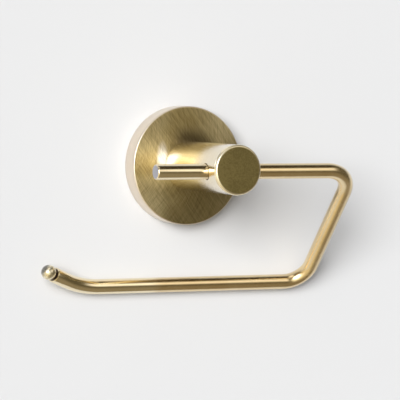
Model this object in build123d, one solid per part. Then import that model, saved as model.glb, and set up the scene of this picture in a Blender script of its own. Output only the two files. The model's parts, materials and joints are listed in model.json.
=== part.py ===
from build123d import *

import os
from math import asin, cos, degrees, radians, sin

# Wall-mounted toilet paper holder in satin brass.
# Millimetres. +Z is up the wall, +Y points into the wall and the wall is the
# plane y = 0. The origin is the middle of the round rose, on the wall. The post
# stands out along -Y, and every "depth" below is a distance from the wall.
# The arm is drawn lying back against the wall, where it goes when it is pushed
# in: its lower bar is then just off the wall.

# rose: the round cover on the wall
rose_diameter = 63.0
rose_depth = 11.0
rose_side_wall = 2.2
rose_front_wall = 2.5
rose_edge_chamfer = 0.8

# wall bracket: the cast disc that is screwed to the wall under the rose
bracket_thickness = 6.0
bracket_web = 3.2
bracket_rim_width = 3.2
bracket_middle_hole_diameter = 16.0
bracket_slip = 0.3              # all round, between bracket and rose
grip_groove_depth = 1.5         # V groove that the rose's grub screw bites in
grip_groove_from_wall = 3.2
wall_hole_spacing = 40.0
wall_hole_diameter = 4.5
wall_hole_countersink = 8.0

# post: the round stem and what is inside it
post_diameter = 26.0
post_length = 71.0              # from the wall to the front face of its cap
post_wall = 2.0
post_base_chamfer = 0.35
post_front_chamfer = 0.25
cap_chamfer = 1.0
cap_land = 0.2                  # straight side behind the cap's chamfer
seam_width = 0.4                # shadow groove between cap and tube
seam_depth = 0.6
cap_spigot_length = 1.9
pivot_block_reach = 10.0        # behind the pivot axis; in front it meets the cap
base_plug_length = 10.0
key_pin_diameter = 3.0          # stops the post turning on the rose
key_pin_length = 2.0
key_pin_offset = 7.5

# arm: one bent rod that turns in the post
rod_diameter = 8.0
rod_depth = 58.4                # of the pivot axis
rod_drop = 1.2                  # the pivot is this far below the post's axis
stub_reach = 41.1               # to the left of the post's axis
side_reach = 73.9               # to the right, to the middle of the side run
arm_drop = 82.5                 # between the middles of the two bars
upper_bend_radius = 15.6
lower_bend_radius = 12.7
tip_bend_radius = 41.0
tip_corner_reach = 58.7         # to the left, where bar and tip lines would meet
tip_length = 20.3               # from that corner to the rod's end
tip_angle = 28.9
stub_end_rounding = 0.9
tip_edge_chamfer = 0.3
wall_gap = 0.5                  # between the lower bar and the wall at rest
catch_groove_depth = 0.8        # round the rod, for the arm's grub screw

# ball on the tip
ball_diameter = 7.8
ball_centre_from_rod = 3.85
ball_neck_diameter = 4.4
ball_stud_diameter = 4.0
ball_stud_length = 6.0

# fasteners
post_screw_diameter = 6.0
post_screw_grip = 8.0           # length inside the base plug
post_screw_head_diameter = 10.5
post_screw_head_height = 3.3
post_screw_socket = 4.0         # across the flats
washer_diameter = 12.0
washer_thickness = 1.2
rose_screw_diameter = 4.0
rose_screw_socket = 2.0
rose_screw_recess = 0.3
arm_screw_diameter = 3.0
arm_screw_dog_diameter = 2.0
arm_screw_dog_length = 0.8
arm_screw_socket = 1.5
arm_screw_recess = 0.6
socket_depth = 1.4

# clearances, all on the radius or on one side
running_gap = 0.05              # rod in its bore
thread_gap = 0.05
seat_gap = 0.05                 # pieces soldered or pressed into the tube
hole_gap = 0.35                 # tube's side holes round the rod
screw_hole_gap = 0.15
catch_gap = 0.3                 # grub screw's dog in the rod's groove
overcut = 1.0                   # how far a cutting shape runs past the metal

# sizes that follow
rose_radius = rose_diameter / 2
rose_inner_radius = rose_radius - rose_side_wall
rose_inner_depth = rose_depth - rose_front_wall
bracket_radius = rose_inner_radius - bracket_slip
bracket_pocket_radius = bracket_radius - grip_groove_depth - bracket_rim_width
post_radius = post_diameter / 2
bore_radius = post_radius - post_wall
insert_radius = bore_radius - seat_gap
cap_back = post_length - cap_chamfer - cap_land
tube_end = cap_back - seam_width
spigot_end = tube_end - cap_spigot_length
block_front = spigot_end
block_back = rod_depth - pivot_block_reach
base_plug_end = rose_depth + base_plug_length
rod_radius = rod_diameter / 2
catch_radius = rod_radius - catch_groove_depth
catch_width = arm_screw_dog_diameter + 2 * catch_gap
lean_back = degrees(asin((rod_depth - rod_radius - wall_gap) / arm_drop))


def turned(*corners):
    """A turned piece on the post's axis, from (radius, depth) corners."""
    section = make_face(Polyline(*[(radius, -depth) for radius, depth in corners], close=True))
    return revolve(section, axis=Axis.Y)


def round_bar(radius, depth_from, depth_to, x=0.0, z=0.0):
    """A bar parallel to the post's axis, between two depths."""
    middle = -(depth_from + depth_to) / 2
    return Pos(x, middle, z) * Rot(90, 0, 0) * Cylinder(radius, abs(depth_to - depth_from))


def upright_bar(radius, z_from, z_to, depth):
    """A bar parallel to Z, on the post's centre plane."""
    return Pos(0, -depth, (z_from + z_to) / 2) * Cylinder(radius, abs(z_to - z_from))


def cross_bar(radius, x_from, x_to):
    """A bar along the arm's pivot axis."""
    middle = Pos((x_from + x_to) / 2, -rod_depth, -rod_drop)
    return middle * Rot(0, 90, 0) * Cylinder(radius, abs(x_to - x_from))


def hex_socket(across_flats, depth):
    """A hexagon key socket, its mouth at z = 0 and its floor below."""
    outline = RegularPolygon(across_flats / 2, 6, major_radius=False)
    return extrude(Pos(0, 0, -depth) * outline, amount=depth + overcut)


def make_wall_bracket():
    groove = grip_groove_depth
    disc = turned(
        (bracket_middle_hole_diameter / 2, 0),
        (bracket_radius, 0),
        (bracket_radius, grip_groove_from_wall - groove),
        (bracket_radius - groove, grip_groove_from_wall),
        (bracket_radius, grip_groove_from_wall + groove),
        (bracket_radius, bracket_thickness),
        (bracket_pocket_radius, bracket_thickness),
        (bracket_pocket_radius, bracket_web),
        (bracket_middle_hole_diameter / 2, bracket_web),
    )
    hole_radius = wall_hole_diameter / 2
    sink_radius = wall_hole_countersink / 2
    sink_depth = sink_radius - hole_radius
    for x in (-wall_hole_spacing / 2, wall_hole_spacing / 2):
        disc -= round_bar(hole_radius, -overcut, bracket_web + overcut, x=x)
        sink = Pos(x, -(bracket_web - sink_depth / 2), 0) * Rot(90, 0, 0)
        disc -= sink * Cone(hole_radius, sink_radius, sink_depth)
    return disc


def make_rose():
    cup = turned(
        (rose_inner_radius, 0),
        (rose_radius, 0),
        (rose_radius, rose_depth - rose_edge_chamfer),
        (rose_radius - rose_edge_chamfer, rose_depth),
        (post_screw_diameter / 2 + screw_hole_gap, rose_depth),
        (post_screw_diameter / 2 + screw_hole_gap, rose_inner_depth),
        (rose_inner_radius, rose_inner_depth),
    )
    key_hole_radius = key_pin_diameter / 2 + screw_hole_gap
    key_hole_floor = rose_depth - key_pin_length - screw_hole_gap
    cup -= round_bar(key_hole_radius, key_hole_floor, rose_depth + overcut, z=key_pin_offset)
    cup -= upright_bar(
        rose_screw_diameter / 2 + thread_gap,
        -rose_radius - overcut,
        -bracket_radius,
        grip_groove_from_wall,
    )
    return cup


def make_rose_set_screw():
    radius = rose_screw_diameter / 2
    outer = rose_radius - rose_screw_recess
    point = bracket_radius - grip_groove_depth + 2 * thread_gap
    shoulder = point + radius
    tip_flat = 0.3
    blank = turned(
        (0, point + tip_flat),
        (tip_flat, point + tip_flat),
        (radius, shoulder),
        (radius, outer),
        (0, outer),
    )
    pointing_down = Pos(0, -grip_groove_from_wall, 0) * Rot(90, 0, 0)
    key_side = Pos(0, -grip_groove_from_wall, -outer) * Rot(180, 0, 0)
    return pointing_down * blank - key_side * hex_socket(rose_screw_socket, socket_depth)


def make_post_tube():
    tube = turned(
        (bore_radius, rose_depth),
        (post_radius - post_base_chamfer, rose_depth),
        (post_radius, rose_depth + post_base_chamfer),
        (post_radius, tube_end - post_front_chamfer),
        (post_radius - post_front_chamfer, tube_end),
        (bore_radius, tube_end),
    )
    reach = post_radius + overcut
    tube -= cross_bar(rod_radius + hole_gap, -reach, reach)
    screw_hole_radius = arm_screw_diameter / 2 + screw_hole_gap
    return tube - upright_bar(screw_hole_radius, bore_radius / 2, reach, rod_depth)


def make_front_cap():
    return turned(
        (0, spigot_end),
        (insert_radius, spigot_end),
        (insert_radius, tube_end),
        (post_radius - seam_depth, tube_end),
        (post_radius - seam_depth, cap_back),
        (post_radius, cap_back),
        (post_radius, post_length - cap_chamfer),
        (post_radius - cap_chamfer, post_length),
        (0, post_length),
    )


def make_pivot_block():
    block = round_bar(insert_radius, block_back, block_front)
    block -= cross_bar(rod_radius + running_gap, -post_radius, post_radius)
    thread_radius = arm_screw_diameter / 2 + thread_gap
    return block - upright_bar(thread_radius, -rod_drop, post_radius, rod_depth)


def make_base_plug():
    plug = round_bar(insert_radius, rose_depth, base_plug_end)
    key_pin_back = rose_depth - key_pin_length
    plug += round_bar(key_pin_diameter / 2, key_pin_back, rose_depth, z=key_pin_offset)
    thread_radius = post_screw_diameter / 2 + thread_gap
    return plug - round_bar(thread_radius, rose_depth - overcut, base_plug_end + overcut)


def make_post_washer():
    back = rose_inner_depth - washer_thickness
    hole_radius = post_screw_diameter / 2 + screw_hole_gap
    ring = round_bar(washer_diameter / 2, back, rose_inner_depth)
    return ring - round_bar(hole_radius, back - overcut, rose_inner_depth + overcut)


def make_post_screw():
    under_head = rose_inner_depth - washer_thickness
    top = under_head - post_screw_head_height
    screw = round_bar(post_screw_head_diameter / 2, top, under_head)
    screw = chamfer(screw.edges().group_by(Axis.Y)[-1], length=0.5)
    screw += round_bar(post_screw_diameter / 2, under_head, rose_depth + post_screw_grip)
    key_side = Pos(0, -top, 0) * Rot(-90, 0, 0)
    return screw - key_side * hex_socket(post_screw_socket, post_screw_head_height / 2)


def make_arm_set_screw():
    shoulder = rod_radius - rod_drop + catch_gap
    dog_end = catch_radius - rod_drop + catch_gap
    top = post_radius - arm_screw_recess
    screw = upright_bar(arm_screw_diameter / 2, shoulder, top, rod_depth)
    screw += upright_bar(arm_screw_dog_diameter / 2, dog_end, shoulder, rod_depth)
    return screw - Pos(0, -rod_depth, top) * hex_socket(arm_screw_socket, socket_depth)


def lay_back(piece):
    """Takes a piece of the arm from hanging straight down to lying against the wall."""
    return Pos(0, -rod_depth, -rod_drop) * Rot(lean_back, 0, 0) * piece


# The arm is drawn hanging straight, with its pivot axis along X through zero.
tip_corner = Vector(-tip_corner_reach, 0, -arm_drop)
tip_way = Vector(-cos(radians(tip_angle)), 0, sin(radians(tip_angle)))
rod_end = tip_corner + tip_way * tip_length
tip_plane = Plane(origin=rod_end, x_dir=(0, 1, 0), z_dir=tip_way)


def make_arm():
    route = FilletPolyline(
        (-stub_reach, 0, 0),
        (side_reach, 0, 0),
        (side_reach, 0, -arm_drop),
        tip_corner,
        rod_end,
        radius=[upper_bend_radius, lower_bend_radius, tip_bend_radius],
    )
    rod = sweep(Plane(origin=(-stub_reach, 0, 0), z_dir=(1, 0, 0)) * Circle(rod_radius), path=route)
    stub_edge = rod.faces().sort_by_distance((-stub_reach, 0, 0))[0].edges()
    rod = fillet(stub_edge, stub_end_rounding)
    tip_edge = rod.faces().sort_by_distance(rod_end)[0].edges()
    rod = chamfer(tip_edge, tip_edge_chamfer)
    collar = Rot(0, 90, 0) * Cylinder(rod_radius + overcut, catch_width)
    rod -= collar - Rot(0, 90, 0) * Cylinder(catch_radius, catch_width)
    stud_hole = Cylinder(ball_stud_diameter / 2 + thread_gap, 2 * (ball_stud_length + overcut))
    return lay_back(rod - tip_plane.location * stud_hole)


def make_ball_finial():
    ball = Pos(0, 0, ball_centre_from_rod) * Sphere(ball_diameter / 2)
    past_rod_end = Pos(0, 0, ball_diameter) * Box(*[2 * ball_diameter] * 3)
    neck = Pos(0, 0, ball_centre_from_rod / 2) * Cylinder(ball_neck_diameter / 2, ball_centre_from_rod)
    stud = Pos(0, 0, -ball_stud_length / 2) * Cylinder(ball_stud_diameter / 2, ball_stud_length)
    return lay_back(tip_plane.location * ((ball & past_rod_end) + neck + stud))


pieces = {
    "wall_bracket": make_wall_bracket(),
    "rose": make_rose(),
    "rose_set_screw": make_rose_set_screw(),
    "post_tube": make_post_tube(),
    "front_cap": make_front_cap(),
    "pivot_block": make_pivot_block(),
    "base_plug": make_base_plug(),
    "post_washer": make_post_washer(),
    "post_screw": make_post_screw(),
    "arm_set_screw": make_arm_set_screw(),
    "arm": make_arm(),
    "ball_finial": make_ball_finial(),
}

os.makedirs("parts", exist_ok=True)
for name, piece in pieces.items():
    export_step(piece, f"parts/{name}.step")
print(f"arm leans back {lean_back:.2f} degrees at rest")
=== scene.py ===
import json
from math import atan2, cos, hypot, pi, radians, sin, tan

import bmesh
import bpy
from mathutils import Matrix, Vector


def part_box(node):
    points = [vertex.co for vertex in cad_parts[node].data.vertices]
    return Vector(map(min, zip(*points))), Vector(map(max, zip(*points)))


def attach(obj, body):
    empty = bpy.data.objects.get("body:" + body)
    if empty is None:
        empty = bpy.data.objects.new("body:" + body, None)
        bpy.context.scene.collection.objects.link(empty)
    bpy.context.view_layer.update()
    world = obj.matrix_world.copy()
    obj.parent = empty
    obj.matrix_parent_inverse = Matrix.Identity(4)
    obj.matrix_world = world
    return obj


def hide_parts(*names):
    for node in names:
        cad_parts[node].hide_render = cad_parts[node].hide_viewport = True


# Wall-mounted paper holder: rose, post and a bent arm that turns in the post.
# Metres. Z is up the wall, Y goes into it and the wall is y = 0.

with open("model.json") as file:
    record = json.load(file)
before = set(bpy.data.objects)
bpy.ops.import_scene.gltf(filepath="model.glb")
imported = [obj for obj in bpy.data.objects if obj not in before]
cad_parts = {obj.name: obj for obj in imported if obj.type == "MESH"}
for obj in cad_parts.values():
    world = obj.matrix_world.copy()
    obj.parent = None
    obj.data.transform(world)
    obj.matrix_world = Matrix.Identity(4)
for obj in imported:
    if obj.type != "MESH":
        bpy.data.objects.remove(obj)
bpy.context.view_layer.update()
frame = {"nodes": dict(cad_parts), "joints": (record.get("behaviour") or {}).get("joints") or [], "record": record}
nodes = frame["nodes"]
mounts = {mount["name"]: mount for mount in frame["record"]["mounts"]}
pivot = Vector(frame["joints"][0]["pos_m"])
print("frame loaded,", len(nodes), "nodes")


class Wire:  # a socket of a node tree; sums on it turn into Math nodes
    def __init__(self, tree, socket=None):
        self.tree = tree
        self.socket = socket

    def node(self, kind, settings=None, inputs=None, output=0):
        made = self.tree.nodes.new(kind)
        for name, value in (settings or {}).items():
            setattr(made, name, value)
        for name, value in (inputs or {}).items():
            if isinstance(value, Wire):
                self.tree.links.new(value.socket, made.inputs[name])
            else:
                made.inputs[name].default_value = value
        return Wire(self.tree, made.outputs[output] if made.outputs else None)

    def other(self, output):  # another output of the same node
        return Wire(self.tree, self.socket.node.outputs[output])

    def math(self, operation, *values):
        return self.node("ShaderNodeMath", {"operation": operation}, dict(enumerate(values)))

    def __add__(self, value):
        return self.math("ADD", self, value)

    def __radd__(self, value):
        return self.math("ADD", value, self)

    def __sub__(self, value):
        return self.math("SUBTRACT", self, value)

    def __rsub__(self, value):
        return self.math("SUBTRACT", value, self)

    def __mul__(self, value):
        return self.math("MULTIPLY", self, value)

    def __rmul__(self, value):
        return self.math("MULTIPLY", value, self)

    def __truediv__(self, value):
        return self.math("DIVIDE", self, value)

    def __rtruediv__(self, value):
        return self.math("DIVIDE", value, self)

    def __pow__(self, value):
        return self.math("POWER", self, value)

    def __rpow__(self, value):
        return self.math("POWER", value, self)

    def ramp(self, start, end):  # a smooth step, 0 at start and 1 at end
        return self.node(
            "ShaderNodeMapRange", {"interpolation_type": "SMOOTHSTEP"}, {0: self, 1: start, 2: end}
        )

    def blend(self, first, second, kind="MIX"):  # colours, this socket being the factor
        return self.node(
            "ShaderNodeMix", {"data_type": "RGBA", "blend_type": kind}, {0: self, 6: first, 7: second}, 2
        )

    def noise(self, place, scale=1.0, detail=2.0, roughness=0.5):
        return self.node(
            "ShaderNodeTexNoise", {"noise_dimensions": "3D"},
            {"Vector": place, "Scale": scale, "Detail": detail, "Roughness": roughness},
        )

    def vector(self, x, y, z):
        return self.node("ShaderNodeCombineXYZ", None, {0: x, 1: y, 2: z})

    def split(self):  # a vector's x, y and z
        x = self.node("ShaderNodeSeparateXYZ", None, {0: self})
        return x, x.other(1), x.other(2)

    def minus(self, point):
        return self.node("ShaderNodeVectorMath", {"operation": "SUBTRACT"}, {0: self, 1: point})

    def stretch(self, by):
        return self.node("ShaderNodeVectorMath", {"operation": "MULTIPLY"}, {0: self, 1: by})

    def dot(self, way):  # how far along a direction
        return self.node("ShaderNodeVectorMath", {"operation": "DOT_PRODUCT"}, {0: self, 1: way}, 1)

    def length(self):
        return self.node("ShaderNodeVectorMath", {"operation": "LENGTH"}, {0: self}, 1)

    def bump(self, depth, under=None):  # this socket is the height, and under an earlier bump
        inputs = {"Strength": 1.0, "Distance": depth, "Height": self}
        if under:
            inputs["Normal"] = under
        return self.node("ShaderNodeBump", None, inputs)


def colour(*rgb):
    return (*rgb, 1.0)


def newFinish(name):
    material = bpy.data.materials.new(name)
    material.use_nodes = True
    material.node_tree.nodes.clear()
    return material, Wire(material.node_tree)


def closeFinish(wire, shader):
    wire.node("ShaderNodeOutputMaterial", None, {"Surface": shader})


def closeMetal(wire, tone, roughness, bump, constants=None):
    closeFinish(wire, wire.node("ShaderNodeBsdfPrincipled", None, {
        "Base Color": tone, "Metallic": 1.0, "Roughness": roughness, "Normal": bump,
        **(constants or {}),
    }))


def lacquered(weight, roughness):
    return {"Coat Weight": weight, "Coat Roughness": roughness, "Coat IOR": 1.5}


def aroundPost(wire):  # the place, how far from the post's axis, how deep, and which way round
    place = wire.node("ShaderNodeTexCoord", output="Object")
    x, y, z = place.split()
    reach = (x * x + z * z) ** 0.5
    away = wire.math("MAXIMUM", reach, 1e-5)
    return place, reach, y, x / away, z / away


shaping = {
    "roundSteps": 192,
    "flatMargin": 0.0003,   # a ring this far inside a rounded edge keeps the face beside it flat
    "sharpFrom": 32,        # degrees between two faces
    "sameRing": 0.00002,
}


def turnProfile(corners, steps=shaping["roundSteps"]):
    # spins (radius, depth) corners once round the post's axis into a closed ring
    bm = bmesh.new()
    verts = [bm.verts.new((radius, -depth, 0)) for radius, depth in corners]
    pairs = list(zip(verts, verts[1:]))
    if corners[0][0] > 0 and corners[-1][0] > 0:
        pairs.append((verts[-1], verts[0]))
    edges = [bm.edges.new(pair) for pair in pairs]
    bmesh.ops.spin(
        bm, geom=verts + edges, cent=(0, 0, 0), axis=(0, 1, 0), dvec=(0, 0, 0),
        angle=2 * pi, steps=steps, use_merge=True, use_duplicate=False,
    )
    bmesh.ops.remove_doubles(bm, verts=bm.verts, dist=1e-6)
    bmesh.ops.recalc_face_normals(bm, faces=bm.faces)
    return bm


def roundEdges(bm, edges, offset, segments):
    bmesh.ops.bevel(
        bm, geom=edges, offset=offset, offset_type="OFFSET", segments=segments,
        profile=0.5, affect="EDGES", material=-1,
    )


def roundRing(bm, radius, depth, offset, segments):  # the ring edge at this radius and depth
    near = shaping["sameRing"]
    ring = [
        edge for edge in bm.edges
        if all(abs(hypot(v.co.x, v.co.z) - radius) < near and abs(-v.co.y - depth) < near
               for v in edge.verts)
    ]
    roundEdges(bm, ring, offset, segments)


def madeOf(geometry, kind):
    return [item for item in geometry if isinstance(item, kind)]


def cutAway(piece, hole):  # takes a closed shape out of a piece
    mesh = bpy.data.meshes.new("cutter")
    hole.to_mesh(mesh)
    hole.free()
    cutter = bpy.data.objects.new("cutter", mesh)
    bpy.context.scene.collection.objects.link(cutter)
    modifier = piece.modifiers.new("hole", "BOOLEAN")
    modifier.operation = "DIFFERENCE"
    modifier.solver = "EXACT"
    modifier.object = cutter
    shaped = piece.evaluated_get(bpy.context.evaluated_depsgraph_get())
    result = bpy.data.meshes.new_from_object(shaped)
    piece.modifiers.clear()
    piece.data = result
    bpy.data.objects.remove(cutter)
    bpy.data.meshes.remove(mesh)


def finishPiece(bm, name, material, body, node, hole=None):
    mesh = bpy.data.meshes.new(name)
    bm.to_mesh(mesh)
    bm.free()
    piece = bpy.data.objects.new(name, mesh)
    bpy.context.scene.collection.objects.link(piece)
    if hole:
        cutAway(piece, hole)
    piece.data.materials.append(material)
    piece.data.shade_smooth()
    piece.data.set_sharp_from_angle(angle=radians(shaping["sharpFrom"]))
    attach(piece, body)
    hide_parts(node)


roseLow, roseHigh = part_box("rose")
rose = {
    "radius": roseHigh.x,
    "depth": -roseLow.y,
    "sideWall": 0.0022,
    "frontWall": 0.0025,
    "edge": 0.0007,
    "edgeSteps": 5,
    "wallEdge": 0.0002,      # the rim's corner on the wall
    "wallEdgeSteps": 2,
    "middleHole": 0.00315,
    "screwHole": 0.00205,
    "screwFromWall": 0.0032,
    "screwHoleSides": 40,
}

roseFinish = {
    "light": colour(0.64, 0.52, 0.26),
    "dark": colour(0.56, 0.44, 0.19),
    "cloudScale": 55.0,
    # painted light: a paler brass where more light falls on the brushed face
    "paintedLight": colour(0.90, 0.78, 0.46),
    # painted shade: darker brass where the post's shadow falls
    "paintedShade": colour(0.20, 0.155, 0.06),
    # painted shade round the post's foot, above the post
    "paintedFootShade": colour(0.10, 0.07, 0.025),
    "roughness": 0.37,
    "roughCloud": 0.08,
    "roughStroke": 0.12,
    "pull": 0.35,                        # how much the brushing draws the gloss out sideways
    "pullTurn": 0.045,
    "lacquer": 0.6,
    "lacquerRoughness": 0.25,
    "streak": colour(0.51, 0.48, 0.42),  # a stroke darkens the brass by this
    "swingFrom": (-0.058, 0.0, 0.014),   # the brush swung in arcs round this point
    "waver": 0.0012,                     # and strayed this far
    "waverScale": 60.0,
    "strokeRows": 2900.0,                # lines to the metre
    "strokeTurn": 5.0,                   # their change along the arc
    "strokeSlice": 5.0,                  # keeps their pattern apart from the hairs'
    "strokeDepth": 0.00005,
    "strokeSpan": (0.40, 0.60),
    "strokeShare": 0.4,
    "hairRows": 4200.0,
    "hairTurn": 7.0,
    "hairDepth": 0.00003,
    "hairSpan": (0.42, 0.62),
    "hairShare": 0.15,
    "crossRows": 3000.0,                 # straight strokes over the arcs
    "crossAlong": 90.0,
    "crossWay": (0.80, 0.0, 0.60),
    "crossRun": (-0.60, 0.0, 0.80),
    "crossSpan": (0.40, 0.60),
    "crossShare": 0.45,
    "acrossWall": 400.0,                 # the lines' change over the rim's side
    # painted reflection: the rim's side paler, standing in for the wall's neutral reflection at a grazing angle
    "side": colour(0.77, 0.67, 0.54),
    "sideSpan": (0.0008, 0.0002),        # inside the rim's radius
    "paintedHighlight": colour(0.99, 0.95, 0.88),  # a painted highlight left of the post
    "highlightAt": (-0.0150, 0.0, 0.004),
    "highlightShape": (1.871, 0.0, 0.707),  # narrow and tall
    "highlightSpan": (0.0075, 0.0025),
}

# Painted light and painted shade on the rose: paler where more light falls on the brushed face, darker where the
# post's shadow falls. Each way is a direction, and where its mask starts and is full.
roseAreas = [
    # painted light on the right, the upper left and the lower left of the face
    {"tint": "paintedLight", "amount": 0.9, "ways": [((1, 0, 0.2), 0.006, 0.026)]},
    {"tint": "paintedLight", "amount": 0.405, "ways": [((-1, 0, 0), 0.007, 0.020), ((0, 0, 1), 0.002, 0.012)]},
    {"tint": "paintedLight", "amount": 0.9, "ways": [((-1, 0, 0), 0.007, 0.020), ((0, 0, -1), 0.002, 0.010)]},
    # painted shade towards the lower right, under the post
    {"tint": "paintedShade", "amount": 0.72, "ways": [((0.68, 0, -0.70), -0.002, 0.020)]},
    # painted shade at the post's foot
    {"tint": "paintedFootShade", "amount": 0.85, "nearPost": (0.0235, 0.0140),
     "ways": [((0, 0, 1), 0.001, 0.010), ((1, 0, 0), -0.014, -0.001)]},
]


def makeRoseFinish():
    f = roseFinish
    material, wire = newFinish("roseBrushedBrass")
    place, fromPost = aroundPost(wire)[:2]
    x, y, z = place.minus(f["swingFrom"]).split()
    turn = wire.math("ARCTAN2", z, x)
    waver = (wire.noise(place, f["waverScale"]) - 0.5) * f["waver"]
    row = (x * x + z * z) ** 0.5 + waver + y
    hair = wire.noise(
        wire.vector(row * f["hairRows"], turn * f["hairTurn"], y * f["acrossWall"]), roughness=0.6
    )
    stroke = wire.noise(
        wire.vector(row * f["strokeRows"], turn * f["strokeTurn"], f["strokeSlice"]), roughness=0.7
    )
    slant = (place.dot(f["crossWay"]) + waver) * f["crossRows"]
    along = place.dot(f["crossRun"]) * f["crossAlong"]
    cross = wire.noise(wire.vector(slant, along, y * f["acrossWall"]), roughness=0.6)
    cloud = wire.noise(place, f["cloudScale"], 3.0)
    tone = cloud.ramp(0.3, 0.7).blend(f["dark"], f["light"])
    for area in roseAreas:
        mask = area["amount"]
        for way, start, end in area["ways"]:
            mask = place.dot(way).ramp(start, end) * mask
        if "nearPost" in area:
            mask = fromPost.ramp(*area["nearPost"]) * mask
        # each area paints light or shade onto the brass
        tone = mask.blend(tone, f[area["tint"]])
    # a painted highlight left of the post, where the post's bright side shows in the face
    spot = place.minus(f["highlightAt"]).stretch(f["highlightShape"]).length()
    tone = spot.ramp(*f["highlightSpan"]).blend(tone, f["paintedHighlight"])
    streak = (
        stroke.ramp(*f["strokeSpan"]) * f["strokeShare"]
        + hair.ramp(*f["hairSpan"]) * f["hairShare"]
        + cross.ramp(*f["crossSpan"]) * f["crossShare"]
    )
    tone = streak.blend(tone, f["streak"], "MULTIPLY")
    # painted reflection of the wall on the rim's side
    side = fromPost.ramp(rose["radius"] - f["sideSpan"][0], rose["radius"] - f["sideSpan"][1])
    tone = side.blend(tone, f["side"])
    roughness = f["roughness"] + (cloud - 0.5) * f["roughCloud"] + (stroke - 0.5) * f["roughStroke"]
    closeMetal(wire, tone, roughness, hair.bump(f["hairDepth"], stroke.bump(f["strokeDepth"])), {
        "Anisotropic": f["pull"], "Anisotropic Rotation": f["pullTurn"],
        **lacquered(f["lacquer"], f["lacquerRoughness"]),
    })
    return material


def makeRose():
    r = rose
    inner, floor = r["radius"] - r["sideWall"], r["depth"] - r["frontWall"]
    bm = turnProfile([
        (inner, 0), (r["radius"], 0), (r["radius"], r["depth"]),
        (r["radius"] - r["edge"] - shaping["flatMargin"], r["depth"]),
        (r["middleHole"], r["depth"]), (r["middleHole"], floor), (inner, floor),
    ])
    roundRing(bm, r["radius"], r["depth"], r["edge"], r["edgeSteps"])
    roundRing(bm, r["radius"], 0, r["wallEdge"], r["wallEdgeSteps"])
    # turned by half a side, so that none of its corners meets an edge of the rose
    hole = bmesh.new()
    place = Matrix.Translation((0, -r["screwFromWall"], -r["radius"]))
    bmesh.ops.create_cone(
        hole, cap_ends=True, segments=r["screwHoleSides"], radius1=r["screwHole"],
        radius2=r["screwHole"], depth=4 * r["sideWall"],
        matrix=place @ Matrix.Rotation(pi / r["screwHoleSides"], 4, "Z"),
    )
    finishPiece(bm, "roseCover", makeRoseFinish(), "fixed_post", "rose", hole)


makeRose()
print("rose made")


postFinish = {
    "light": colour(0.87, 0.77, 0.57),
    "dark": colour(0.80, 0.68, 0.44),
    "cloudScale": 80.0,
    "paintedWallReflection": colour(0.84, 0.77, 0.64),    # painted reflection: paler towards the cap, for the wall seen in the post
    "wallReflectionSpan": (-0.030, -0.062),
    "wallReflectionAmount": 0.4,
    "roughness": 0.15,
    "roughCloud": 0.06,
    "roughTurned": 0.08,
    "turnRows": 3600.0,                  # fine lathe lines to the metre
    "turnLength": 3.0,
    "turnDepth": 0.00002,
    "wideRows": 900.0,
    "wideLength": 2.0,
    "lacquer": 1.0,
    "lacquerRoughness": 0.15,
}


def makePostFinish():
    f = postFinish
    material, wire = newFinish("postTurnedBrass")
    place, _, depth, across, up = aroundPost(wire)
    long, wideLong = f["turnLength"], f["wideLength"]
    fine = wire.noise(wire.vector(across * long, depth * f["turnRows"], up * long), roughness=0.6)
    wide = wire.noise(wire.vector(across * wideLong, depth * f["wideRows"], up * wideLong))
    cloud = wire.noise(place, f["cloudScale"], 3.0)
    tone = (cloud * 0.6 + wide * 0.4).ramp(0.35, 0.65).blend(f["dark"], f["light"])
    # painted reflection of the wall, paler towards the cap
    tone = (depth.ramp(*f["wallReflectionSpan"]) * f["wallReflectionAmount"]).blend(tone, f["paintedWallReflection"])
    roughness = f["roughness"] + (cloud - 0.5) * f["roughCloud"] + (wide - 0.5) * f["roughTurned"]
    coat = lacquered(f["lacquer"], f["lacquerRoughness"])
    closeMetal(wire, tone, roughness, fine.bump(f["turnDepth"]), coat)
    return material


capLow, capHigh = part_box("front_cap")
cap = {
    "radius": capHigh.x,
    "front": -capLow.y,
    "spigotEnd": -capHigh.y,
    "spigotRadius": 0.01095,
    "seamBack": -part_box("post_tube")[0].y,   # where the tube ends
    "seamWidth": 0.0004,
    "seamDepth": 0.0006,
    "edge": 0.00115,
    "edgeSteps": 5,
    "roundSteps": 128,
}

capFinish = {
    "light": colour(0.44, 0.36, 0.15),
    "dark": colour(0.33, 0.27, 0.108),
    "cloudScale": 120.0,
    "grainScale": 1500.0,
    "edge": colour(0.92, 0.82, 0.58),   # a painted highlight on the rounded edge
    "edgeHighlightSpan": (0.0014, 0.0007),       # inside the cap's radius
    "roughness": 0.30,
    "roughCloud": 0.06,
    "turnRows": 4200.0,
    "turnLength": 3.0,
    "turnDepth": 0.000012,
    "lacquer": 0.2,
    "lacquerRoughness": 0.2,
}


def makeCapFinish():
    f = capFinish
    material, wire = newFinish("capSatinBrass")
    place, reach, depth, across, up = aroundPost(wire)
    long = f["turnLength"]
    fine = wire.noise(wire.vector(across * long, (reach + depth) * f["turnRows"], up * long))
    grain = wire.noise(place, f["grainScale"])
    cloud = wire.noise(place, f["cloudScale"], 3.0)
    tone = (cloud * 0.4 + grain * 0.6).ramp(0.38, 0.62).blend(f["dark"], f["light"])
    # painted highlight on the cap's rounded front edge
    edge = reach.ramp(cap["radius"] - f["edgeHighlightSpan"][0], cap["radius"] - f["edgeHighlightSpan"][1])
    tone = edge.blend(tone, f["edge"])
    roughness = f["roughness"] + (cloud + grain - 1.0) * f["roughCloud"]
    height = fine * 0.7 + grain * 0.3
    coat = lacquered(f["lacquer"], f["lacquerRoughness"])
    closeMetal(wire, tone, roughness, height.bump(f["turnDepth"]), coat)
    return material


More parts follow.
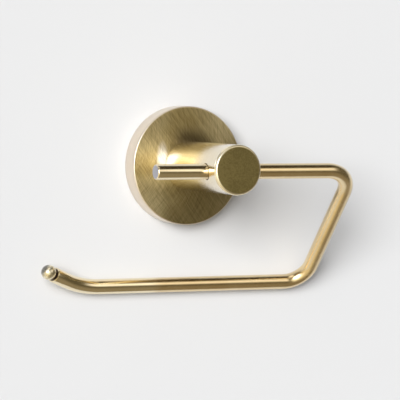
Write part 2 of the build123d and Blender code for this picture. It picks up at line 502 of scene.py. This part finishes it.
def makeCap():
    c = cap
    back = c["seamBack"] + c["seamWidth"]
    neck = c["radius"] - c["seamDepth"]
    bm = turnProfile([
        (0, c["spigotEnd"]), (c["spigotRadius"], c["spigotEnd"]), (c["spigotRadius"], c["seamBack"]),
        (neck, c["seamBack"]), (neck, back), (c["radius"], back), (c["radius"], c["front"]),
        (c["radius"] - c["edge"] - shaping["flatMargin"], c["front"]), (0, c["front"]),
    ], c["roundSteps"])
    roundRing(bm, c["radius"], c["front"], c["edge"], c["edgeSteps"])
    finishPiece(bm, "frontCap", makeCapFinish(), "fixed_post", "front_cap")


makeCap()
print("cap made")


rollBar = mounts["roll_bar"]
rodRadius = rollBar["dims"]["r_mm"] / 1000
drop = Vector((0, rollBar["pos_m"][1] - pivot.y, rollBar["pos_m"][2] - pivot.z))
arm = {
    "stubReach": 0.0411,
    "sideReach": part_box("arm")[1].x - rodRadius,
    "upperBend": 0.0156,
    "lowerBend": 0.0127,
    "bendSteps": 28,
    "tipBend": 0.041,
    "tipBendSteps": 20,
    "tipCorner": 0.0587,
    "tipLength": 0.0203,
    "tipTurn": radians(28.9),
    "groove": 0.0008,          # the set screw's dog runs in it
    "grooveHalf": 0.0013,
    "stubRounding": 0.0009,
    "stubSteps": 5,
    "tipRounding": 0.0003,
    "tipSteps": 2,
    "sides": 64,
}
tipWay = Vector((-cos(arm["tipTurn"]), 0, sin(arm["tipTurn"])))
tipEnd = Vector((-arm["tipCorner"], 0, -drop.length)) + tipWay * arm["tipLength"]
leanBack = Matrix.Translation(pivot) @ Matrix.Rotation(atan2(drop.y, -drop.z), 4, "X")
tipPlace = leanBack @ Matrix.Translation(tipEnd) @ tipWay.to_track_quat("Z", "Y").to_matrix().to_4x4()

armFinish = {
    "light": colour(0.84, 0.68, 0.41),
    "dark": colour(0.76, 0.59, 0.33),
    "cloudScale": 60.0,
    "smudgeScale": 260.0,
    "lineRound": 28.0,                   # drawing lines, round the rod and along it
    "lineAlong": 60.0,
    "lineDepth": 0.000003,
    "roughness": 0.23,
    "roughCloud": 0.08,
    "roughSmudge": 0.05,
    "roughLines": 0.06,
    "stubPaintedLight": colour(1.0, 0.92, 0.68),     # painted light: the stub brighter, raising its highlight
    "stubSpan": (-0.012, -0.020),
    "stubAmount": 0.5,
    "stubSmoother": 0.07,
    "farSidePaintedShade": colour(0.20, 0.15, 0.07),  # painted shade on the far side of the side run, where it reflects the shadowed wall
    "farSideShadeSpan": (0.0740, 0.0772),
    "farSideShadeAmount": 0.7,
    "rightSpan": (0.05, 0.10),           # a little rougher towards the side run
    "rightRougher": 0.06,
    "stubEndPaintedReflection": colour(0.43, 0.43, 0.47),    # the stub's end face, painted grey as a reflection of the grey surroundings on the left
    "stubEndReflectionSpan": (0.00012, 0.00004),
    "grooveDarkening": colour(0.09, 0.06, 0.045),  # darker on the rod's end, under the ball
    "grooveDarkeningSpan": (-0.00012, -0.00002),
    "grooveDarkeningReach": (0.0036, 0.0032),
    "endsRougher": 0.25,
    "lacquer": 0.5,
    "lacquerRoughness": 0.1,
}


def pastRodEnd(place):  # how far a point lies past the rod's end at the ball
    return place.minus(tipPlace.translation).dot(tipPlace.to_3x3() @ Vector((0, 0, 1)))


def makeArmFinish():
    f = armFinish
    material, wire = newFinish("armSatinBrass")
    place = wire.node("ShaderNodeTexCoord", output="Object")
    right = place.split()[0]
    run = wire.node("ShaderNodeAttribute", {"attribute_name": "alongRod"}, output="Vector")
    across, up, along = run.split()
    lines = wire.noise(
        wire.vector(across * f["lineRound"], along * f["lineAlong"], up * f["lineRound"]), roughness=0.6
    )
    cloud = wire.noise(place, f["cloudScale"], 3.0)
    smudge = wire.noise(place, f["smudgeScale"])
    tone = (cloud * 0.6 + lines * 0.4).ramp(0.35, 0.65).blend(f["dark"], f["light"])
    # painted light on the stub, which is also made smoother
    stubPaintedLight = right.ramp(*f["stubSpan"])
    tone = (stubPaintedLight * f["stubAmount"]).blend(tone, f["stubPaintedLight"])
    # painted shade on the side run's far edge
    tone = (right.ramp(*f["farSideShadeSpan"]) * f["farSideShadeAmount"]).blend(tone, f["farSidePaintedShade"])
    # painted reflection: the stub's end face grey
    stubEndPaintedReflection = (along + arm["stubReach"]).ramp(*f["stubEndReflectionSpan"])
    tone = stubEndPaintedReflection.blend(tone, f["stubEndPaintedReflection"])
    fromEnd = place.minus(tipPlace.translation).length()
    # darker on the rod's end, in the groove under the ball
    grooveDarkening = pastRodEnd(place).ramp(*f["grooveDarkeningSpan"]) * fromEnd.ramp(*f["grooveDarkeningReach"])
    tone = grooveDarkening.blend(tone, f["grooveDarkening"])
    roughness = (
        f["roughness"] + (cloud - 0.5) * f["roughCloud"] + (smudge - 0.5) * f["roughSmudge"]
        + (lines - 0.5) * f["roughLines"] - stubPaintedLight * f["stubSmoother"]
        + (stubEndPaintedReflection + grooveDarkening) * f["endsRougher"] + right.ramp(*f["rightSpan"]) * f["rightRougher"]
    )
    coat = lacquered(f["lacquer"], f["lacquerRoughness"])
    closeMetal(wire, tone, roughness, lines.bump(f["lineDepth"]), coat)
    return material


def push(bm, ring, move, scale=1.0):  # carries the rod on, straight
    made = bmesh.ops.extrude_edge_only(bm, edges=ring)["geom"]
    verts = madeOf(made, bmesh.types.BMVert)
    bmesh.ops.translate(bm, verts=verts, vec=move)
    if scale != 1.0:
        middle = sum((v.co for v in verts), Vector()) / len(verts)
        bmesh.ops.scale(bm, vec=(scale,) * 3, verts=verts, space=Matrix.Translation(-middle))
    return [
        edge for edge in madeOf(made, bmesh.types.BMEdge)
        if edge.verts[0] in verts and edge.verts[1] in verts
    ]


def bend(bm, ring, centre, angle, steps):  # carries the rod on, round a bend
    made = bmesh.ops.spin(
        bm, geom=ring, cent=centre, axis=(0, 1, 0), dvec=(0, 0, 0),
        angle=angle, steps=steps, use_merge=False, use_duplicate=False,
    )["geom_last"]
    return madeOf(made, bmesh.types.BMEdge)


def makeArm():
    # drawn hanging straight down from the pivot, then laid back to the wall
    a, bm, low = arm, bmesh.new(), drop.length
    marks = bm.verts.layers.float_vector.new("alongRod")
    bmesh.ops.create_circle(
        bm, cap_ends=False, segments=a["sides"], radius=rodRadius,
        matrix=Matrix.Translation((-a["stubReach"], 0, 0)) @ Matrix.Rotation(pi / 2, 4, "Y"),
    )
    stubEnd = ring = bm.edges[:]
    barEnd = a["sideReach"] - a["upperBend"]
    narrow = 1 - a["groove"] / rodRadius
    ring = push(bm, ring, Vector((a["stubReach"] - a["grooveHalf"], 0, 0)))
    ring = push(bm, ring, Vector(), narrow)
    ring = push(bm, ring, Vector((2 * a["grooveHalf"], 0, 0)))
    ring = push(bm, ring, Vector(), 1 / narrow)
    ring = push(bm, ring, Vector((barEnd - a["grooveHalf"], 0, 0)))
    ring = bend(bm, ring, (barEnd, 0, -a["upperBend"]), pi / 2, a["bendSteps"])
    ring = push(bm, ring, Vector((0, 0, a["upperBend"] + a["lowerBend"] - low)))
    barRight = a["sideReach"] - a["lowerBend"]
    ring = bend(bm, ring, (barRight, 0, a["lowerBend"] - low), pi / 2, a["bendSteps"])
    tangent = a["tipBend"] * tan(a["tipTurn"] / 2)
    barLeft = tangent - a["tipCorner"]
    ring = push(bm, ring, Vector((barLeft - barRight, 0, 0)))
    ring = bend(bm, ring, (barLeft, 0, a["tipBend"] - low), a["tipTurn"], a["tipBendSteps"])
    ring = push(bm, ring, tipWay * (a["tipLength"] - tangent))
    for end, offset, steps in (
        (stubEnd, a["stubRounding"], a["stubSteps"]), (ring, a["tipRounding"], a["tipSteps"]),
    ):
        face = bmesh.ops.contextual_create(bm, geom=end)["faces"][0]
        roundEdges(bm, list(face.edges), offset, steps)
    bmesh.ops.recalc_face_normals(bm, faces=bm.faces)
    # which way each point faces round the rod, and how far along it lies
    for v in bm.verts:
        x, y, z = v.co
        if z > -a["upperBend"]:
            v[marks] = (y / rodRadius, z / rodRadius, x)
        elif z > a["lowerBend"] - low:
            v[marks] = (y / rodRadius, (x - a["sideReach"]) / rodRadius, a["sideReach"] - z)
        else:
            v[marks] = (y / rodRadius, (z + low) / rodRadius, 2 * a["sideReach"] + low - x)
    bmesh.ops.transform(bm, matrix=leanBack, verts=bm.verts)
    finishPiece(bm, "bentArm", makeArmFinish(), "swing_arm", "arm")


makeArm()
print("arm made")


ball = {
    "radius": 0.0039,
    "fromRod": 0.00385,        # its middle, past the rod's end
    "neck": 0.0022,
    "neckRounding": 0.0001,
    "neckSteps": 3,
    "sides": 72,
    "rings": 48,
}

ballFinish = {
    "light": colour(0.98, 0.90, 0.68),
    "dark": colour(0.57, 0.48, 0.29),
    "cloudScale": 420.0,
    "grainScale": 1800.0,
    "grainDepth": 0.00001,
    "paintedDarkReflection": colour(0.16, 0.16, 0.155),   # a painted dark reflection on its outer upper side
    "darkReflectionWay": (-0.74, 0.36, 0.57),
    "darkReflectionSpan": (0.0008, 0.0028),
    "darkReflectionAmount": 0.9,
    "grooveSpan": (0.0009, 0.0005),      # darker in the groove behind it
    "grooveRougher": 0.25,
    "roughness": 0.32,
    "roughCloud": 0.1,
    "lacquer": 0.4,
    "lacquerRoughness": 0.2,
}


def makeBallFinish():
    f = ballFinish
    material, wire = newFinish("ballSatinBrass")
    place = wire.node("ShaderNodeTexCoord", output="Object")
    grain = wire.noise(place, f["grainScale"])
    cloud = wire.noise(place, f["cloudScale"], 3.0)
    tone = (cloud * 0.7 + grain * 0.3).ramp(0.38, 0.62).blend(f["dark"], f["light"])
    middle = tipPlace @ Vector((0, 0, ball["fromRod"]))
    # painted dark reflection on the ball's outer upper side
    paintedDarkReflection = place.minus(middle).dot(f["darkReflectionWay"]).ramp(*f["darkReflectionSpan"])
    tone = (paintedDarkReflection * f["darkReflectionAmount"]).blend(tone, f["paintedDarkReflection"])
    groove = pastRodEnd(place).ramp(*f["grooveSpan"])
    tone = groove.blend(tone, armFinish["grooveDarkening"])
    roughness = f["roughness"] + (cloud - 0.5) * f["roughCloud"] + groove * f["grooveRougher"]
    coat = lacquered(f["lacquer"], f["lacquerRoughness"])
    closeMetal(wire, tone, roughness, grain.bump(f["grainDepth"]), coat)
    return material


def makeBall():
    b = ball
    bm = bmesh.new()
    bmesh.ops.create_uvsphere(
        bm, u_segments=b["sides"], v_segments=b["rings"], radius=b["radius"],
        matrix=Matrix.Translation((0, 0, b["fromRod"])),
    )
    neckTop = b["fromRod"] - (b["radius"] ** 2 - b["neck"] ** 2) ** 0.5
    cut = bmesh.ops.bisect_plane(
        bm, geom=bm.verts[:] + bm.edges[:] + bm.faces[:], plane_co=(0, 0, neckTop),
        plane_no=(0, 0, 1), clear_inner=True,
    )["geom_cut"]
    made = bmesh.ops.extrude_edge_only(bm, edges=madeOf(cut, bmesh.types.BMEdge))["geom"]
    bmesh.ops.translate(bm, verts=madeOf(made, bmesh.types.BMVert), vec=(0, 0, -neckTop))
    end = [edge for edge in madeOf(made, bmesh.types.BMEdge) if all(v.co.z < 1e-6 for v in edge.verts)]
    bmesh.ops.contextual_create(bm, geom=end)
    corner = [edge for edge in bm.edges if all(abs(v.co.z - neckTop) < 1e-6 for v in edge.verts)]
    roundEdges(bm, corner, b["neckRounding"], b["neckSteps"])
    bmesh.ops.recalc_face_normals(bm, faces=bm.faces)
    bmesh.ops.transform(bm, matrix=tipPlace, verts=bm.verts)
    finishPiece(bm, "tipBall", makeBallFinish(), "swing_arm", "ball_finial")


makeBall()
print("ball made")


plainFinishes = {
    # bare brass, darkened as painted shade in the gap round the arm
    "bare_brass": {"dark": colour(0.20, 0.15, 0.08), "light": colour(0.34, 0.26, 0.14),
                   "roughness": 0.36, "scale": 900.0, "depth": 0.00001},
    "cast_zinc": {"dark": colour(0.42, 0.43, 0.45), "light": colour(0.60, 0.61, 0.63),
                  "roughness": 0.52, "scale": 700.0, "depth": 0.00004},
    "screw_steel": {"dark": colour(0.22, 0.22, 0.22), "light": colour(0.42, 0.41, 0.40),
                    "roughness": 0.34, "scale": 1400.0, "depth": 0.000008},
}

plainRoughGrain = 0.2

keptNodes = {
    "wall_bracket": "cast_zinc",
    "pivot_block": "bare_brass",
    "base_plug": "bare_brass",
    "rose_set_screw": "screw_steel",
    "post_washer": "screw_steel",
    "post_screw": "screw_steel",
    "arm_set_screw": "screw_steel",
}


def makePlainFinish(name, f):
    material, wire = newFinish(name)
    place = wire.node("ShaderNodeTexCoord", output="Object")
    grain = wire.noise(place, f["scale"], 3.0)
    cloud = wire.noise(place, f["scale"] / 8, 3.0)
    tone = (grain * 0.5 + cloud * 0.5).ramp(0.35, 0.65).blend(f["dark"], f["light"])
    closeMetal(wire, tone, f["roughness"] + (grain - 0.5) * plainRoughGrain, grain.bump(f["depth"]))
    return material


def giveFinish(name, material):
    nodes[name].data.materials.clear()
    nodes[name].data.materials.append(material)


plain = {name: makePlainFinish(name, f) for name, f in plainFinishes.items()}
giveFinish("post_tube", makePostFinish())
for name, finish in keptNodes.items():
    giveFinish(name, plain[finish])
print("kept nodes finished")


stageWall = {
    "half": 3.0,
    "opening": 0.0298,     # open under the rose, so that light reaches its back
    "sides": 96,
    "behind": 0.0003,
    "paint": colour(0.755, 0.755, 0.748),
    "far": colour(0.22, 0.22, 0.22),     # beyond the pool of light
    "farReach": (0.15, 0.42),
    "farHeight": (0.0, 0.12),
}


def makeWallPaint():
    material, wire = newFinish("wallPaint")
    place = wire.node("ShaderNodeTexCoord", output="Object")
    high = place.split()[2]
    far = place.length().ramp(*stageWall["farReach"]) * high.ramp(*stageWall["farHeight"])
    paint = wire.node("ShaderNodeBsdfDiffuse", None, {
        "Color": far.blend(stageWall["paint"], stageWall["far"]),
    })
    clear = wire.node("ShaderNodeBsdfTransparent")
    behind = wire.node("ShaderNodeNewGeometry", output="Backfacing")
    # from behind the wall isn't there, so the back of the rose shows
    closeFinish(wire, wire.node("ShaderNodeMixShader", None, {0: behind, 1: paint, 2: clear}))
    return material


def makeWall():
    bm = bmesh.new()
    upright = Matrix.Translation((0, stageWall["behind"], 0)) @ Matrix.Rotation(pi / 2, 4, "X")
    for radius in (stageWall["half"], stageWall["opening"]):
        bmesh.ops.create_circle(
            bm, cap_ends=False, segments=stageWall["sides"], radius=radius, matrix=upright
        )
    bmesh.ops.bridge_loops(bm, edges=bm.edges[:])
    if bm.faces[:][0].normal.y > 0:
        bmesh.ops.reverse_faces(bm, faces=bm.faces[:])
    mesh = bpy.data.meshes.new("backWall")
    bm.to_mesh(mesh)
    bm.free()
    mesh.materials.append(makeWallPaint())
    wall = bpy.data.objects.new("backWall", mesh)
    bpy.context.scene.collection.objects.link(wall)


makeWall()
print("wall made")


key = {
    "from": Vector((-0.597, -0.765, 0.245)).normalized(),
    "width": 32.0,
    "strength": 3.00,
    "glow": colour(5.3, 5.5, 6.2),       # what the metal sees of the key
    "glowEdge": 29,                      # degrees from its middle
    "glowFull": 8,
}


def makeKey():
    light = bpy.data.objects.new("keyLight", bpy.data.lights.new("keyLight", "SUN"))
    light.data.energy = key["strength"]
    light.data.angle = radians(key["width"])
    light.rotation_mode = "QUATERNION"
    light.rotation_quaternion = key["from"].to_track_quat("Z", "Y")
    light.visible_glossy = False    # the metal sees the room's glow instead
    bpy.context.scene.collection.objects.link(light)


# The room that the metal sees. Spans are parts of a direction's x, y and z.
room = {
    "level": colour(0.115, 0.095, 0.055),
    "above": colour(0.045, 0.035, 0.02),
    "aboveSpan": (0.55, 0.8),
    "below": colour(0.27, 0.225, 0.15),
    "belowLeft": colour(0.85, 0.72, 0.47),
    "belowLeftSpan": (0.1, -0.5),
    "belowSpan": (0.10, -0.45),
    "belowTilt": 0.35,
    "behind": colour(0.55, 0.55, 0.55),    # reaches only the rose's back
    "behindSpan": (0.3, 0.6),
    "frontSpan": (0.1, -0.3),
    "shadowSide": colour(0.03, 0.03, 0.035),   # fill from away from the key
    "keySide": colour(0.50, 0.495, 0.49),
    "fillSpan": (0.1, 0.95),
    "backdrop": colour(0.84, 0.84, 0.84),
}

softBoxes = {
    "front": {"light": colour(1.35, 1.27, 1.15),
              "x": ((0.12, 0.34), (0.80, 0.55)), "z": ((-0.10, 0.32), (0.68, 0.48))},
    "left": {"light": colour(1.4, 1.36, 1.15),
             "x": ((0.15, -0.15), (-0.95, -0.75)), "z": ((-0.62, -0.35), (0.42, 0.20))},
    "top": {"light": colour(1.3, 1.25, 1.15),
            "x": ((-0.50, -0.35), (0.20, 0.05)), "z": ((0.72, 0.80),)},
}


def makeRoom():
    world = bpy.data.worlds.new("studioRoom")
    world.use_nodes = True
    world.node_tree.nodes.clear()
    wire = Wire(world.node_tree)
    way = wire.node("ShaderNodeTexCoord", output="Generated")
    x, y, z = way.split()
    floor = x.ramp(*room["belowLeftSpan"]).blend(room["below"], room["belowLeft"])
    seen = (z + x * room["belowTilt"]).ramp(*room["belowSpan"]).blend(room["level"], floor)
    seen = z.ramp(*room["aboveSpan"]).blend(seen, room["above"])
    seen = y.ramp(*room["behindSpan"]).blend(seen, room["behind"])
    for box in softBoxes.values():
        mask = y.ramp(*room["frontSpan"])
        for span in box["x"]:
            mask = mask * x.ramp(*span)
        for span in box["z"]:
            mask = mask * z.ramp(*span)
        seen = mask.blend(seen, box["light"])
    towardsKey = way.dot(key["from"])
    glow = towardsKey.ramp(cos(radians(key["glowEdge"])), cos(radians(key["glowFull"])))
    seen = glow.blend(seen, key["glow"])
    fill = towardsKey.ramp(*room["fillSpan"]).blend(room["shadowSide"], room["keySide"])
    eye = wire.node("ShaderNodeLightPath", output="Is Camera Ray")
    matt = eye.other("Is Diffuse Ray")
    light = wire.node("ShaderNodeBackground", None, {
        "Color": eye.blend(matt.blend(seen, fill), room["backdrop"]), "Strength": 1.0,
    })
    wire.node("ShaderNodeOutputWorld", None, {"Surface": light})
    bpy.context.scene.world = world


makeKey()
makeRoom()
print("lights placed")


view = {
    "aim": Vector((-0.001428, -0.029159, -0.017359)),
    "distance": 1.436941,
    "aside": 25.905,       # degrees to the left of straight on
    "above": 2.866,
    "roll": 0.647,
    "lens": 246.6,
    "sensor": 36,
    "farthest": 20,
}


def makeCamera():
    aside, above = radians(view["aside"]), radians(view["above"])
    back = Vector((-sin(aside) * cos(above), -cos(aside) * cos(above), sin(above)))
    turn = Matrix.Rotation(radians(view["roll"]), 4, back).to_quaternion()
    camera = bpy.data.objects.new("camera", bpy.data.cameras.new("camera"))
    camera.data.lens = view["lens"]
    camera.data.sensor_width = view["sensor"]
    camera.data.clip_end = view["farthest"]
    camera.location = view["aim"] + back * view["distance"]
    camera.rotation_mode = "QUATERNION"
    camera.rotation_quaternion = turn @ (-back).to_track_quat("-Z", "Y")
    bpy.context.scene.collection.objects.link(camera)
    bpy.context.scene.camera = camera


makeCamera()
bpy.context.scene.view_settings.view_transform = "Standard"
bpy.context.scene.view_settings.look = "None"
print("camera placed")
